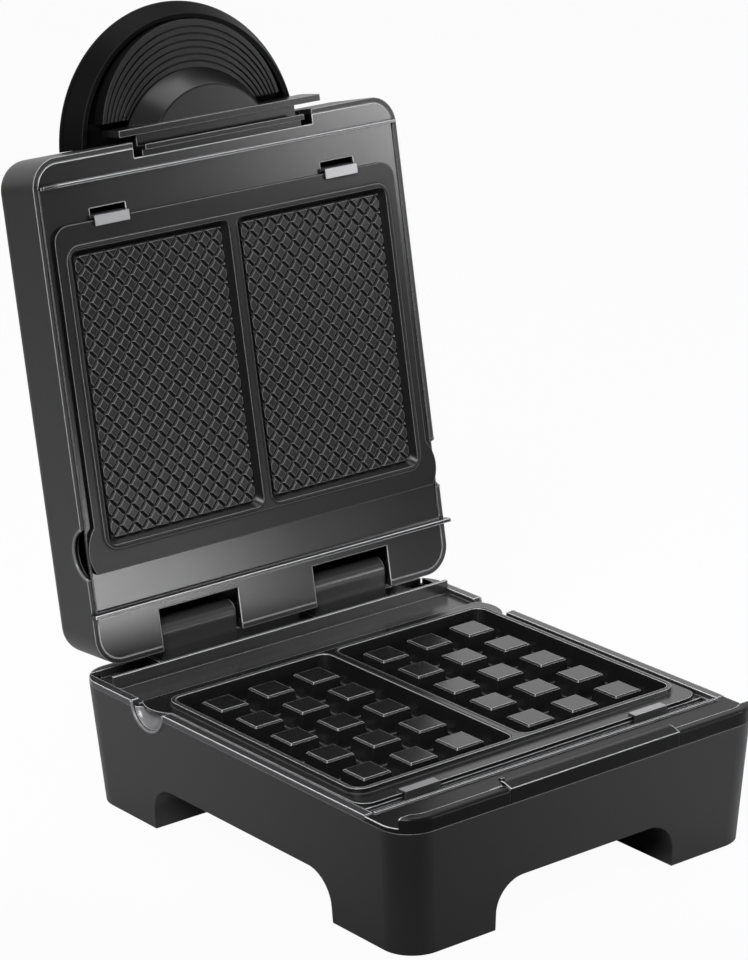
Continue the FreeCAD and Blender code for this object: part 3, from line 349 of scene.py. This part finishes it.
def sheet_metal(name, shade, roughness):
    finish = Finish(name)
    soft, edge, _ = finish.rounded(SHEET_ROUNDING)
    squeezed = finish.node("ShaderNodeMapping", {}, {"Vector": finish.place, "Scale": DRAWN_SCALE})
    drawn = finish.noise(1, 2, squeezed)
    finish.set(
        Base_Color=finish.blend(drawn, grey(shade * DRAWN_DARK), grey(shade)),
        Metallic=1.0,
        Roughness=roughness + DRAWN_GLOSS * (drawn - MID_NOISE) - EDGE_GLOSS * edge,
        Normal=finish.bump(drawn, DRAWN_BUMP, DRAWN_DEPTH, soft))
    return finish.material


clip_steel = sheet_metal("clip_steel", 0.38, 0.42)
dull_steel = sheet_metal("dull_steel", 0.5, 0.42)
reflector_sheet = sheet_metal("reflector_sheet", 0.8, 0.3)
print("metals", clip_steel.name, dull_steel.name, reflector_sheet.name)

# %% [markdown]
# Rubber, lamp lenses and the electrical pieces are small or out of sight. One colour each would do, but a
# flat colour looks like paint, so a noise makes the colour and the gloss a little cloudy.

# %% Rubber, lenses and inner pieces
CLOUDY_DARK = 0.8
CLOUDY_GLOSS = 0.15
RUBBER_SCALE = 600
LENS_SCALE = 120


def plain(name, colour, roughness, scale=RUBBER_SCALE):
    finish = Finish(name)
    grain = finish.noise(scale, 3)
    dark = tuple(CLOUDY_DARK * part for part in colour[:3]) + (1.0,)
    finish.set(
        Base_Color=finish.blend(grain, dark, colour),
        Roughness=roughness + CLOUDY_GLOSS * (grain - MID_NOISE))
    return finish.material


foot_rubber = plain("foot_rubber", (0.022, 0.022, 0.022, 1), 0.8)
ceramic = plain("ceramic", (0.72, 0.7, 0.65, 1), 0.6)
sleeve = plain("sleeve", (0.72, 0.72, 0.7, 1), 0.7)
red_lens = plain("red_lens", (0.32, 0.012, 0.01, 1), 0.2, LENS_SCALE)
green_lens = plain("green_lens", (0.02, 0.2, 0.05, 1), 0.2, LENS_SCALE)
print("plain finishes", foot_rubber.name, ceramic.name, sleeve.name, red_lens.name, green_lens.name)

# %% [markdown]
# Now every solid gets its finish. Faces could be given finishes one by one, but each solid is of one
# material, so a list of names for each finish is enough.

# %% Finishes on the solids
FINISHES = {
    base_black: "base_housing cord_inlet",
    lid_black: "lid_housing",
    handle_black: "handle_shell",
    grip_black: "handle_grip",
    latch_black: "latch_slide",
    lit_base_deck_black: "base_deck",
    trim_black: "front_trim front_catch",
    lid_deck_black: "lid_deck",
    lower_coat: "lower_waffle_plate",
    upper_coat: "upper_grill_plate",
    clip_steel: "base_clip_left base_clip_right lid_clip_left lid_clip_right",
    dull_steel: "lower_heater upper_heater lower_heater_saddles upper_heater_saddles hinge_pins "
                "hollow_hinge_pin latch_springs base_screws lid_screws handle_screws",
    reflector_sheet: "lower_reflector upper_reflector",
    foot_rubber: "rubber_feet",
    ceramic: "base_thermostat thermal_fuse terminal_block lamp_holder",
    sleeve: "base_leads lid_leads",
    red_lens: "power_lens",
    green_lens: "ready_lens",
}
for material, names in FINISHES.items():
    for name in names.split():
        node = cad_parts[name]
        node.data.materials.clear()
        node.data.materials.append(material)
print("finished", sum(len(names.split()) for names in FINISHES.values()), "solids")

# %% [markdown]
# ## Small moulded forms
# Every chamber and every grill panel is framed by a thin raised bead, which shows as a pair of fine lines
# round the plate. It could be swept among the solids, but it is too fine to matter there. Here it starts as
# a plane of the frame's size. Its corners are bevelled, its face is deleted so that only the outline is
# left, and the outline becomes a curve with a round section, which stays even round the corners.

# %% Beads round the plates
CHAMBER_INNER = 2.8 * MM
CHAMBER_OUTER = 104.8 * MM
CHAMBER_MIDDLE = 128.5 * MM
CHAMBER_HALF = 79.0 * MM
CHAMBER_CORNER = 6.0 * MM
LOWER_RIM = 73.3 * MM
UPPER_RIM = 73.95 * MM
BEAD = 0.7 * MM
BEAD_RISE = 0.28 * MM
BEAD_SPREAD = BEAD * 1.5


def bead_frame(side, spread, z):
    """A round bead along a rounded rectangle, a little outside a chamber's edge."""
    start_fresh()
    inner = CHAMBER_INNER - spread
    outer = CHAMBER_OUTER + spread
    half = CHAMBER_HALF + spread
    bpy.ops.mesh.primitive_plane_add(size=1, location=(side * (inner + outer) / 2, CHAMBER_MIDDLE, z))
    piece = bpy.context.object
    piece.scale = (outer - inner, half * 2, 1)
    bpy.ops.object.transform_apply(location=True, rotation=False, scale=True)
    bpy.ops.object.mode_set(mode="EDIT")
    bpy.ops.mesh.select_all(action="SELECT")
    bpy.ops.mesh.bevel(offset=CHAMBER_CORNER + spread, segments=6, affect="VERTICES")
    bpy.ops.mesh.select_all(action="SELECT")
    bpy.ops.mesh.delete(type="ONLY_FACE")
    bpy.ops.object.mode_set(mode="OBJECT")
    bpy.ops.object.convert(target="CURVE")
    curve = bpy.context.object
    curve.data.bevel_depth = BEAD
    curve.data.bevel_resolution = 2
    bpy.ops.object.convert(target="MESH")
    bpy.ops.object.shade_smooth()
    return bpy.context.object


for side, hand in ((-1, "left"), (1, "right")):
    chamber_bead = bead_frame(side, BEAD_SPREAD, LOWER_RIM + BEAD_RISE - BEAD)
    settle(chamber_bead, hand + "_chamber_bead", "base", ON_BASE, lower_coat)
    panel_bead = bead_frame(side, BEAD_SPREAD, UPPER_RIM - BEAD_RISE + BEAD)
    settle(panel_bead, hand + "_panel_bead", "lid", ON_LID, upper_coat)

# %% [markdown]
# A fingertip lifts a plate out by its ear, through a round notch in the side wall. Behind the notch of the
# base is a shallow bowl. It could be spun from a profile, but a flattened sphere that is cut twice is
# simpler. The edge of each notch is turned out into a rolled lip, which is a piece of a torus: the lower
# part on the base, the upper part on the lid.

# %% Finger scoops
NOTCH_PLACE = 209.5 * MM
NOTCH_HEIGHT = 72.7 * MM
NOTCH_RADIUS = 14.5 * MM
WALL_FACE = 119.2 * MM
SCOOP_DEPTH = 7.6 * MM
SCOOP_TOP = 67.9 * MM
LIP_TOP = 71.0 * MM
LID_WALL_FACE = 119.6 * MM
LID_NOTCH_HEIGHT = 72.5 * MM
LID_LIP_FOOT = 77.3 * MM
LIP_RADIUS = 0.9 * MM
SKIN = 0.8 * MM
SMOOTH_ANGLE = math.radians(40)


def keep_side(point, normal, fill=False):
    """Cut the active piece with a plane and throw away what lies on the side the normal points to."""
    bpy.ops.object.mode_set(mode="EDIT")
    bpy.ops.mesh.select_all(action="SELECT")
    bpy.ops.mesh.bisect(plane_co=point, plane_no=normal, clear_outer=True, use_fill=fill)
    bpy.ops.object.mode_set(mode="OBJECT")


def scoop_bowl(side):
    start_fresh()
    bpy.ops.mesh.primitive_uv_sphere_add(
        segments=48, ring_count=24, radius=NOTCH_RADIUS - SKIN / 2,
        location=(side * WALL_FACE, NOTCH_PLACE, NOTCH_HEIGHT))
    bowl = bpy.context.object
    bowl.scale.x = SCOOP_DEPTH / NOTCH_RADIUS
    bpy.ops.object.transform_apply(location=True, rotation=False, scale=True)
    keep_side((side * (WALL_FACE - SKIN), 0, 0), (side, 0, 0))
    keep_side((0, 0, SCOOP_TOP), UP)
    shell = bowl.modifiers.new("skin", "SOLIDIFY")
    shell.thickness = SKIN
    shell.offset = -1.0
    apply_modifiers(bowl)
    bpy.ops.object.shade_smooth_by_angle(angle=SMOOTH_ANGLE)
    return bowl


def notch_lip(side, face, height, cut, away):
    """A ring round a notch, cut at a height, with what lies on one side of the cut thrown away."""
    start_fresh()
    bpy.ops.mesh.primitive_torus_add(
        major_segments=64, minor_segments=10, major_radius=NOTCH_RADIUS, minor_radius=LIP_RADIUS,
        location=(side * face, NOTCH_PLACE, height), rotation=(0, QUARTER_TURN, 0))
    lip = bpy.context.object
    bpy.ops.object.transform_apply(location=True, rotation=True, scale=False)
    keep_side((0, 0, cut), (0, 0, away), fill=True)
    bpy.ops.object.shade_smooth_by_angle(angle=SMOOTH_ANGLE)
    return lip


for side, hand in ((-1, "left"), (1, "right")):
    settle(scoop_bowl(side), hand + "_finger_scoop", "base", ON_BASE, lit_scoop_black)
    base_lip = notch_lip(side, WALL_FACE, NOTCH_HEIGHT, LIP_TOP, 1)
    settle(base_lip, hand + "_scoop_lip", "base", ON_BASE, lit_scoop_black)
    lid_lip = notch_lip(side, LID_WALL_FACE, LID_NOTCH_HEIGHT, LID_LIP_FOOT, -1)
    settle(lid_lip, hand + "_lid_lip", "lid", ON_LID, lit_scoop_black)

# %% [markdown]
# The lid's deck ends in a fine turned edge along each side, below the ledge. A curve with a round section
# would do as well, but the edge is straight, so a disc is drawn out into a bar. A short tab closes the
# ledge at its left end, and a nub marks the left end of the catch. These are small blocks, with rounded
# edges because a sharp edge catches no light.

# %% Deck edges, tab and nub
EDGE_PLACE = 117.0 * MM
EDGE_FROM = 14.0 * MM
EDGE_TO = 240.0 * MM
LID_LEVEL = 77.0 * MM
EDGE_RADIUS = 0.7 * MM
TAB_MIDDLE = Vector((-112.0, 14.4, 74.6)) * MM
TAB_SIZE = Vector((9.0, 1.8, 4.6)) * MM
NUB_MIDDLE = Vector((-50.6, 3.4, 78.2)) * MM
NUB_SIZE = Vector((2.4, 2.6, 2.0)) * MM
BLOCK_ROUNDING = 0.5 * MM


def deck_edge(side):
    """A bar along the deck, extruded from a disc at its front end."""
    start_fresh()
    bpy.ops.mesh.primitive_circle_add(
        vertices=12, radius=EDGE_RADIUS, fill_type="NGON",
        location=(side * EDGE_PLACE, EDGE_FROM, LID_LEVEL), rotation=(QUARTER_TURN, 0, 0))
    bpy.ops.object.transform_apply(location=True, rotation=True, scale=False)
    bpy.ops.object.mode_set(mode="EDIT")
    bpy.ops.mesh.select_all(action="SELECT")
    bpy.ops.mesh.extrude_region_move(TRANSFORM_OT_translate={"value": (0, EDGE_TO - EDGE_FROM, 0)})
    bpy.ops.mesh.select_all(action="SELECT")
    bpy.ops.mesh.normals_make_consistent(inside=False)
    bpy.ops.object.mode_set(mode="OBJECT")
    bpy.ops.object.shade_smooth_by_angle(angle=SMOOTH_ANGLE)
    return bpy.context.object


def small_block(middle, size):
    """A cube scaled to a size, with its edges rounded."""
    start_fresh()
    bpy.ops.mesh.primitive_cube_add(size=1, location=middle)
    piece = bpy.context.object
    piece.scale = size
    bpy.ops.object.transform_apply(location=False, rotation=False, scale=True)
    bpy.ops.object.mode_set(mode="EDIT")
    bpy.ops.mesh.select_all(action="SELECT")
    bpy.ops.mesh.bevel(offset=BLOCK_ROUNDING, segments=3, affect="EDGES")
    bpy.ops.object.mode_set(mode="OBJECT")
    bpy.ops.object.shade_smooth_by_angle(angle=SMOOTH_ANGLE)
    return piece


for side, hand in ((-1, "left"), (1, "right")):
    settle(deck_edge(side), hand + "_deck_edge", "lid", ON_LID, lid_deck_black)
settle(small_block(TAB_MIDDLE, TAB_SIZE), "ledge_tab", "lid", ON_LID, lid_deck_black)
settle(small_block(NUB_MIDDLE, NUB_SIZE), "catch_nub", "base", ON_BASE, trim_black)

# %% [markdown]
# Two coil springs push the latch out again. A curve along a helix would need many points, so each coil is a
# ring of wire that a screw modifier turns round the spring's axis. It stands for the plain tube among the
# solids, which is hidden.

# %% Latch springs
SPRING_SPREAD = 38.0 * MM
SPRING_MIDDLE = 4.0 * MM
SPRING_FROM = 16.85 * MM
SPRING_TO = 25.85 * MM
SPRING_LEVEL = 80.45 * MM
COIL_RADIUS = 1.7 * MM
WIRE = 0.3 * MM
TURNS = 7
TURN_STEPS = 16
COIL_SMOOTH_ANGLE = math.radians(50)


def coil_spring():
    """A coil round the Z axis, as long as the spring."""
    start_fresh()
    bpy.ops.mesh.primitive_circle_add(
        vertices=8, radius=WIRE, location=(COIL_RADIUS, 0, WIRE), rotation=(QUARTER_TURN, 0, 0))
    bpy.ops.object.transform_apply(location=True, rotation=True, scale=False)
    spring = bpy.context.object
    coil = spring.modifiers.new("coil", "SCREW")
    coil.screw_offset = (SPRING_TO - SPRING_FROM - 2 * WIRE) / TURNS
    coil.iterations = TURNS
    coil.steps = TURN_STEPS
    coil.render_steps = TURN_STEPS
    apply_modifiers(spring)
    bpy.ops.object.mode_set(mode="EDIT")
    bpy.ops.mesh.select_mode(type="EDGE")
    bpy.ops.mesh.select_all(action="DESELECT")
    bpy.ops.mesh.select_non_manifold()
    bpy.ops.mesh.fill_holes(sides=0)
    bpy.ops.mesh.select_all(action="SELECT")
    bpy.ops.mesh.normals_make_consistent(inside=False)
    bpy.ops.object.mode_set(mode="OBJECT")
    bpy.ops.object.shade_smooth_by_angle(angle=COIL_SMOOTH_ANGLE)
    return spring


for side, hand in ((-1, "left"), (1, "right")):
    middle = SPRING_MIDDLE + side * SPRING_SPREAD
    lying = Matrix.Translation((middle, SPRING_FROM, SPRING_LEVEL)) @ Matrix.Rotation(-QUARTER_TURN, 4, "X")
    spring = settle(coil_spring(), hand + "_latch_spring", "lid", ON_LID @ lying, dull_steel)
    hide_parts("latch_springs")
    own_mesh(spring)

# %% [markdown]
# ## The studio
# The appliance stands on a sheet of paper. More light could make the paper white, but it would wash out the
# black as well. So the camera sees the paper nearly white, with a trace of the shadow, and light and mirror
# rays see its own grey. That is darker at the front left, so that the black walls have something dark to
# mirror.

# %% Floor
WHITE = (1, 1, 1, 1)
FLOOR_SIZE = 12
FLOOR_DROP = 0.2 * MM
FLOOR_SHADE = 0.6
MOTTLE_SCALE = 3
MOTTLE_SHARE = 0.98
PAPER_ROUGHNESS = 0.9
PAPER_SHARE = 0.96
DARK_SHADE = 0.12
DARK_RAMP = (0.02, 0.25)
FRONT_LEFT = (-0.707, -0.707, 0)


def studio_paper():
    finish = Finish("studio_paper")
    mottle = finish.noise(MOTTLE_SCALE, 2)
    pale = finish.blend(mottle, grey(FLOOR_SHADE), grey(FLOOR_SHADE * MOTTLE_SHARE))
    darker = finish.steps(finish.along(finish.place, FRONT_LEFT), *DARK_RAMP)
    finish.set(Base_Color=finish.blend(darker, pale, grey(DARK_SHADE)), Roughness=PAPER_ROUGHNESS)
    lit = Value(finish, finish.shader.outputs[0])
    glow = finish.node("ShaderNodeEmission", {}, {"Color": WHITE, "Strength": 1.0})
    seen = finish.rays("Is Camera Ray") * PAPER_SHARE
    mixed = finish.node("ShaderNodeMixShader", {}, {0: seen, 1: lit, 2: glow})
    finish.feed(finish.tree.nodes["Material Output"].inputs["Surface"], mixed)
    return finish.material


start_fresh()
bpy.ops.mesh.primitive_plane_add(size=FLOOR_SIZE, location=(0, 0, -FLOOR_DROP))
floor = bpy.context.object
floor.name = "studio_floor"
floor.data.materials.append(studio_paper())
print("floor", FLOOR_SIZE, "m wide")

# %% [markdown]
# Black plastic shows only what it reflects, and a small lamp would show as a dot. So the lights are shapes
# to be mirrored: a key from the left, a wide box above, and two small cards at the front right that the
# lid's deck mirrors above and below its plate. Each light has a name, a place, a point that it aims at, a
# size and a power.

# %% Lights
SOFT_BOXES = (
    ("key_box", (-1.3, -0.9, 1.5), (0, 0, 0.15), (0.9, 0.9), 50),
    ("top_box", (0.2, 0.2, 1.7), (0, 0, 0.1), (1.2, 1.0), 14),
    ("upper_card", (0.98, -0.90, 0.45), (0, 0.10, 0.28), (0.26, 0.24), 3.0),
    ("lower_card", (0.48, -0.90, 0.03), (0, 0.10, 0.12), (0.20, 0.08), 1.2),
)


def soft_box(name, place, aim, size, power):
    lamp = bpy.data.lights.new(name, "AREA")
    lamp.shape = "RECTANGLE"
    lamp.size, lamp.size_y = size
    lamp.energy = power
    holder = bpy.data.objects.new(name, lamp)
    bpy.context.collection.objects.link(holder)
    holder.location = place
    holder.rotation_euler = (Vector(aim) - Vector(place)).to_track_quat("-Z", "Y").to_euler()


for box in SOFT_BOXES:
    soft_box(*box)

# %% [markdown]
# The world is the white room. An even white would be mirrored on all sides and turn the black to grey. So
# the camera sees it white, also through a lens, while mirror rays see it white behind the appliance and dim
# in front. To all other rays it is a weak fill.

# %% White room
BRIGHT_SIDE = (0.6, 0.75, 0.28)
MIRROR_RAMP = (-0.3, 0.7)
FILL = 0.12

world = bpy.data.worlds.new("white_studio")
bpy.context.scene.world = world
world.use_nodes = True
room = Nodes(world.node_tree)
heading = room.node("ShaderNodeTexCoord", {}, {}, "Generated")
mirrored = room.rays("Is Glossy Ray") * room.steps(room.along(heading, BRIGHT_SIDE), *MIRROR_RAMP, FILL)
shown = room.rays("Is Camera Ray").or_more(room.rays("Is Transmission Ray"))
background = room.tree.nodes["Background"]
room.feed(background.inputs["Color"], WHITE)
room.feed(background.inputs["Strength"], shown.or_more(mirrored).or_more(FILL))
print("room", len(room.tree.nodes), "nodes")

# %% [markdown]
# ## The camera
# A long lens stands to the left of the appliance's front corner, a little above it. It could be aimed by a
# constraint, but the picture is also rolled a little, so the camera's axes are worked out from three
# angles. Its place, roll and length were fitted to the straight edges of the base.

# %% Camera
AZIMUTH = math.radians(-37.883)
ELEVATION = math.radians(18.358)
ROLL = math.radians(-1.166)
CAMERA_PLACE = Vector((-1121.6, -1276.1, 787.6)) * MM - Vector((0, FRONT_REACH, 0))
LENS = 137.94
SENSOR = 36.0


def photo_camera():
    level = math.cos(ELEVATION)
    back = Vector((math.sin(AZIMUTH) * level, -math.cos(AZIMUTH) * level, math.sin(ELEVATION)))
    right = Vector((math.cos(AZIMUTH), math.sin(AZIMUTH), 0))
    up = back.cross(right)
    rolled_right = math.cos(ROLL) * right + math.sin(ROLL) * up
    rolled_up = math.cos(ROLL) * up - math.sin(ROLL) * right
    turned = Matrix((rolled_right, rolled_up, back)).transposed().to_4x4()
    data = bpy.data.cameras.new("photo_camera")
    data.lens = LENS
    data.sensor_width = SENSOR
    data.dof.use_dof = False
    camera = bpy.data.objects.new("photo_camera", data)
    bpy.context.collection.objects.link(camera)
    camera.matrix_world = Matrix.Translation(CAMERA_PLACE) @ turned
    return camera


bpy.context.scene.camera = photo_camera()
bpy.context.scene.view_settings.view_transform = "Standard"
print("lens", LENS)
